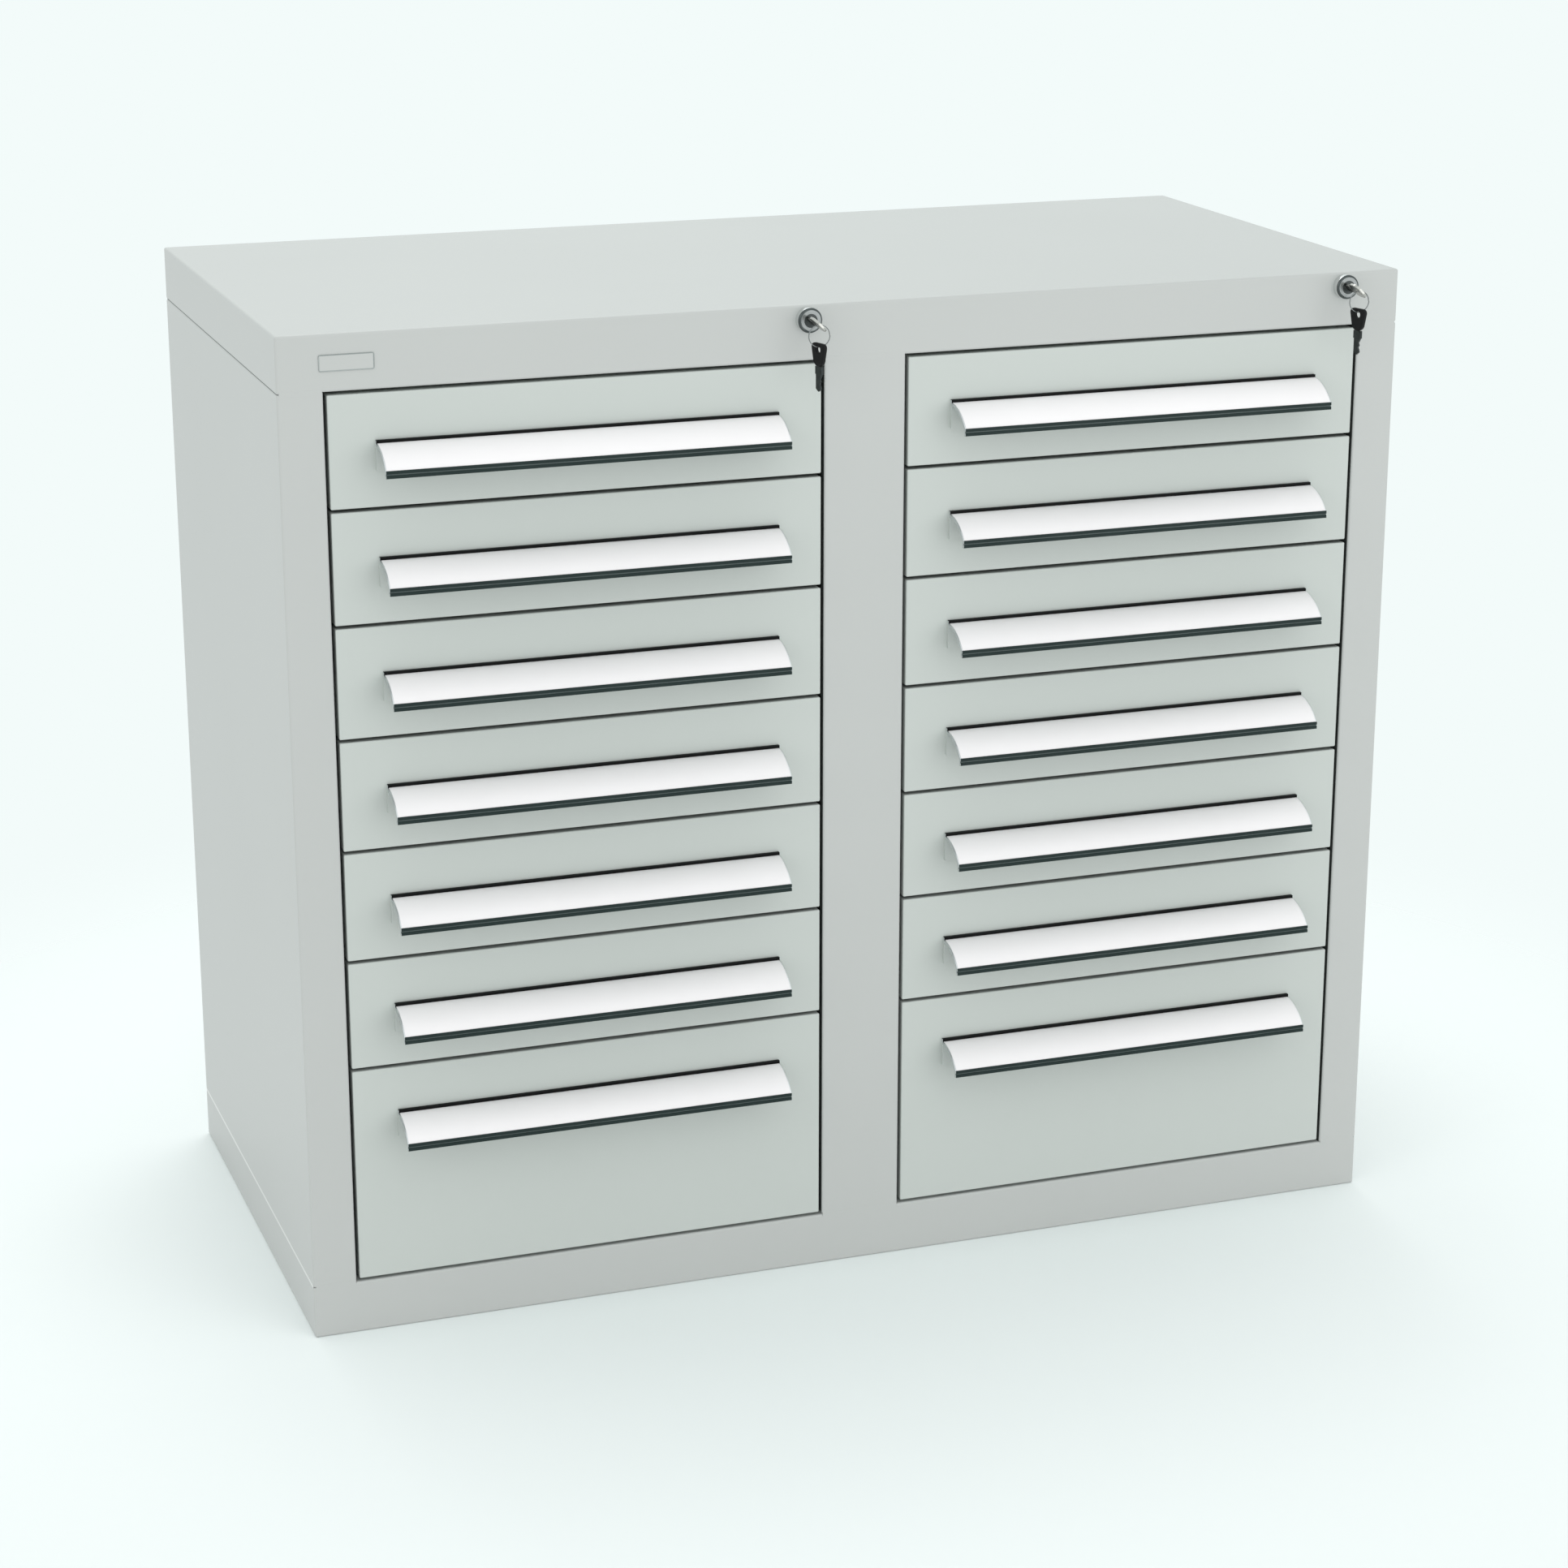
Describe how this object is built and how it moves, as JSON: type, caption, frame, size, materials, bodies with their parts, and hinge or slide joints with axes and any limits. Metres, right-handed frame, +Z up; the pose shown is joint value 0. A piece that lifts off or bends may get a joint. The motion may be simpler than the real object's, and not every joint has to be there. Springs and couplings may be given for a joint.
{
  "type": "drawer cabinet",
  "caption": "Free-standing sheet-steel cabinet with side-by-side columns of sliding drawers, hooded label grips and a key lock for each column.",
  "frame": {"origin": "floor level, under the middle of the whole object's box, keys and grips included", "axes": "+Z up, drawer fronts face -Y, +X to the right of someone facing the fronts"},
  "size_m": [1.035, 0.54, 0.9],
  "materials": {
    "housing_paint": "light grey powder coat, fine texture",
    "drawer_paint": "light grey-green powder coat, fine texture",
    "grip_section": "matt anodised section",
    "zinc_steel": "zinc plated",
    "lock_chrome": "polished",
    "key_plastic": "black moulded bow",
    "key_metal": "nickel plated",
    "label_strip": "white card under a clear strip",
    "grip_trim": "dark grey edge strips"
  },
  "bodies": {
    "cabinet": {"top_cover": "housing_paint", "base_pan": "housing_paint", "left_side_panel": "housing_paint", "right_side_panel": "housing_paint", "centre_post": "housing_paint", "back_panel": "housing_paint", "slide_uprights": "zinc_steel", "housing_rails": "zinc_steel", "slide_screws": "zinc_steel", "lock_housings": "lock_chrome"},
    "left_drawer_7": {"left_drawer_7_front": "drawer_paint", "left_drawer_7_grip": "grip_section", "left_drawer_7_tray": "drawer_paint"},
    "left_drawer_6": {"left_drawer_6_front": "drawer_paint", "left_drawer_6_grip": "grip_section", "left_drawer_6_tray": "drawer_paint"},
    "left_drawer_5": {"left_drawer_5_front": "drawer_paint", "left_drawer_5_grip": "grip_section", "left_drawer_5_tray": "drawer_paint"},
    "left_drawer_4": {"left_drawer_4_front": "drawer_paint", "left_drawer_4_grip": "grip_section", "left_drawer_4_tray": "drawer_paint"},
    "left_drawer_3": {"left_drawer_3_front": "drawer_paint", "left_drawer_3_grip": "grip_section", "left_drawer_3_tray": "drawer_paint"},
    "left_drawer_2": {"left_drawer_2_front": "drawer_paint", "left_drawer_2_grip": "grip_section", "left_drawer_2_tray": "drawer_paint"},
    "left_drawer_1": {"left_drawer_1_front": "drawer_paint", "left_drawer_1_grip": "grip_section", "left_drawer_1_tray": "drawer_paint"},
    "left_lock": {"left_lock_plug": "lock_chrome", "left_key": "key_metal"},
    "left_bar": {"left_lock_bar": "zinc_steel"},
    "left_spare": {"left_spare_key": "key_plastic"},
    "right_drawer_7": {"right_drawer_7_front": "drawer_paint", "right_drawer_7_grip": "grip_section", "right_drawer_7_tray": "drawer_paint"},
    "right_drawer_6": {"right_drawer_6_front": "drawer_paint", "right_drawer_6_grip": "grip_section", "right_drawer_6_tray": "drawer_paint"},
    "right_drawer_5": {"right_drawer_5_front": "drawer_paint", "right_drawer_5_grip": "grip_section", "right_drawer_5_tray": "drawer_paint"},
    "right_drawer_4": {"right_drawer_4_front": "drawer_paint", "right_drawer_4_grip": "grip_section", "right_drawer_4_tray": "drawer_paint"},
    "right_drawer_3": {"right_drawer_3_front": "drawer_paint", "right_drawer_3_grip": "grip_section", "right_drawer_3_tray": "drawer_paint"},
    "right_drawer_2": {"right_drawer_2_front": "drawer_paint", "right_drawer_2_grip": "grip_section", "right_drawer_2_tray": "drawer_paint"},
    "right_drawer_1": {"right_drawer_1_front": "drawer_paint", "right_drawer_1_grip": "grip_section", "right_drawer_1_tray": "drawer_paint"},
    "right_lock": {"right_lock_plug": "lock_chrome", "right_key": "key_metal"},
    "right_bar": {"right_lock_bar": "zinc_steel"},
    "right_spare": {"right_spare_key": "key_plastic"}
  },
  "joints": [
    {"name": "left_drawer_7_slide", "type": "slide", "parent": "cabinet", "child": "left_drawer_7", "axis": [0, -1, 0], "range_m": [0, 0.34]},
    {"name": "left_drawer_6_slide", "type": "slide", "parent": "cabinet", "child": "left_drawer_6", "axis": [0, -1, 0], "range_m": [0, 0.34]},
    {"name": "left_drawer_5_slide", "type": "slide", "parent": "cabinet", "child": "left_drawer_5", "axis": [0, -1, 0], "range_m": [0, 0.34]},
    {"name": "left_drawer_4_slide", "type": "slide", "parent": "cabinet", "child": "left_drawer_4", "axis": [0, -1, 0], "range_m": [0, 0.34]},
    {"name": "left_drawer_3_slide", "type": "slide", "parent": "cabinet", "child": "left_drawer_3", "axis": [0, -1, 0], "range_m": [0, 0.34]},
    {"name": "left_drawer_2_slide", "type": "slide", "parent": "cabinet", "child": "left_drawer_2", "axis": [0, -1, 0], "range_m": [0, 0.34]},
    {"name": "left_drawer_1_slide", "type": "slide", "parent": "cabinet", "child": "left_drawer_1", "axis": [0, -1, 0], "range_m": [0, 0.34]},
    {"name": "left_key_turn", "type": "hinge", "parent": "cabinet", "child": "left_lock", "pos_m": [-0.0535, -0.23002, 0.8875], "axis": [0, 1, 0], "range_deg": [0, 90]},
    {"name": "left_bar_slide", "type": "slide", "parent": "cabinet", "child": "left_bar", "axis": [0, 0, -1], "range_m": [0, 0.009]},
    {"name": "left_spare_swing", "type": "hinge", "parent": "cabinet", "child": "left_spare", "pos_m": [-0.0535, -0.25992, 0.8875], "axis": [-1, 0, 0], "range_deg": [-25, 60]},
    {"name": "right_drawer_7_slide", "type": "slide", "parent": "cabinet", "child": "right_drawer_7", "axis": [0, -1, 0], "range_m": [0, 0.34]},
    {"name": "right_drawer_6_slide", "type": "slide", "parent": "cabinet", "child": "right_drawer_6", "axis": [0, -1, 0], "range_m": [0, 0.34]},
    {"name": "right_drawer_5_slide", "type": "slide", "parent": "cabinet", "child": "right_drawer_5", "axis": [0, -1, 0], "range_m": [0, 0.34]},
    {"name": "right_drawer_4_slide", "type": "slide", "parent": "cabinet", "child": "right_drawer_4", "axis": [0, -1, 0], "range_m": [0, 0.34]},
    {"name": "right_drawer_3_slide", "type": "slide", "parent": "cabinet", "child": "right_drawer_3", "axis": [0, -1, 0], "range_m": [0, 0.34]},
    {"name": "right_drawer_2_slide", "type": "slide", "parent": "cabinet", "child": "right_drawer_2", "axis": [0, -1, 0], "range_m": [0, 0.34]},
    {"name": "right_drawer_1_slide", "type": "slide", "parent": "cabinet", "child": "right_drawer_1", "axis": [0, -1, 0], "range_m": [0, 0.34]},
    {"name": "right_key_turn", "type": "hinge", "parent": "cabinet", "child": "right_lock", "pos_m": [0.4625, -0.23002, 0.8875], "axis": [0, 1, 0], "range_deg": [0, 90]},
    {"name": "right_bar_slide", "type": "slide", "parent": "cabinet", "child": "right_bar", "axis": [0, 0, -1], "range_m": [0, 0.009]},
    {"name": "right_spare_swing", "type": "hinge", "parent": "cabinet", "child": "right_spare", "pos_m": [0.4625, -0.25992, 0.8875], "axis": [-1, 0, 0], "range_deg": [-25, 60]}
  ],
  "couplings": [
    {"joint": "left_key_turn", "follows": "left_bar_slide", "rad_per_m": 174.53},
    {"joint": "right_key_turn", "follows": "right_bar_slide", "rad_per_m": 174.53}
  ]
}
